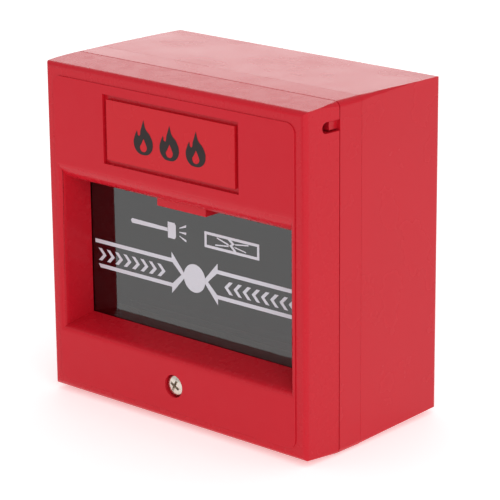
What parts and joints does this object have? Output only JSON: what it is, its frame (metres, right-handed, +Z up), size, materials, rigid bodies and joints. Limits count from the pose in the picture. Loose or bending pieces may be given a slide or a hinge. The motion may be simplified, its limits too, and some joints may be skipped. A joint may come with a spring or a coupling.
{
  "type": "break-glass fire alarm box",
  "caption": "Square red wall-mounted fire alarm box with a recessed printed glass pane, a label plate, a screwed front cover and a roller-lever switch behind the pane.",
  "frame": {"origin": "centre of the box's footprint, on the surface that its underside stands on", "axes": "+X to the right seen from the front, -Y out of the front face into the room, +Y into the wall, +Z up"},
  "size_m": [0.086, 0.05, 0.086],
  "materials": {
    "red_plastic": "smooth moulded plastic, fine texture on the front panel",
    "knockout_red": "smooth moulded plastic",
    "clear_glass": "clear, printed on its face",
    "ivory_plastic": "moulded nylon",
    "spring_steel": "drawn wire",
    "nickel_steel": "nickel plated",
    "brass": "turned",
    "black_rubber": "soft moulded rubber",
    "board_green": "solder-resist coat",
    "terminal_green": "moulded nylon",
    "black_plastic": "moulded, satin",
    "plunger_red": "moulded acetal",
    "white_nylon": "turned nylon",
    "resistor_tan": "lacquered ceramic",
    "lead_red": "wire insulation"
  },
  "bodies": {
    "base": {"back_box": "red_plastic", "middle_frame": "red_plastic", "carriage_springs": "spring_steel", "pane_pads": "black_rubber", "cover_screw_insert": "brass", "frame_screws": "nickel_steel", "frame_screw_inserts": "brass", "circuit_board": "board_green", "board_screws": "nickel_steel", "terminal_block": "terminal_green", "terminal_clamps": "brass", "terminal_screws": "nickel_steel", "terminal_pins": "brass", "alarm_resistor": "resistor_tan", "switch_case": "black_plastic", "lever_pin": "nickel_steel", "switch_terminals": "brass", "switch_screws": "nickel_steel", "switch_leads": "lead_red", "cable_grommet": "black_rubber", "bottom_knockout": "knockout_red"},
    "cover": {"front_cover": "red_plastic", "label_plate": "red_plastic"},
    "cover_screw": {"cover_screw": "nickel_steel"},
    "pane": {"glass_pane": "clear_glass", "pane_carriage": "ivory_plastic"},
    "lever": {"switch_lever": "spring_steel", "roller_pin": "nickel_steel"},
    "roller": {"lever_roller": "white_nylon"},
    "plunger": {"switch_plunger": "plunger_red"}
  },
  "joints": [
    {"name": "cover_pull", "type": "slide", "parent": "base", "child": "cover", "axis": [0, -1, 0], "range_m": [0, 0.03]},
    {"name": "cover_screw_out", "type": "slide", "parent": "cover", "child": "cover_screw", "axis": [0, -1, 0], "range_m": [0, 0.008]},
    {"name": "pane_drop", "type": "slide", "parent": "base", "child": "pane", "axis": [0, 0, -1], "range_m": [0, 0.002], "stiffness_N_per_m": 300, "springref_m": -0.004, "deforming": ["carriage_springs"]},
    {"name": "lever_swing", "type": "hinge", "parent": "base", "child": "lever", "pos_m": [-0.0085, -0.0143, 0.0645], "axis": [0, 1, 0], "range_deg": [0, 7.5]},
    {"name": "roller_spin", "type": "hinge", "parent": "lever", "child": "roller", "pos_m": [0.007, -0.0143, 0.06105], "axis": [0, 1, 0], "continuous": true},
    {"name": "plunger_travel", "type": "slide", "parent": "base", "child": "plunger", "axis": [0, 0, -1], "range_m": [0, 0.0012]}
  ],
  "couplings": [
    {"joint": "lever_swing", "follows": "pane_drop", "rad_per_m": 64.7},
    {"joint": "plunger_travel", "follows": "pane_drop", "ratio": 0.49}
  ]
}
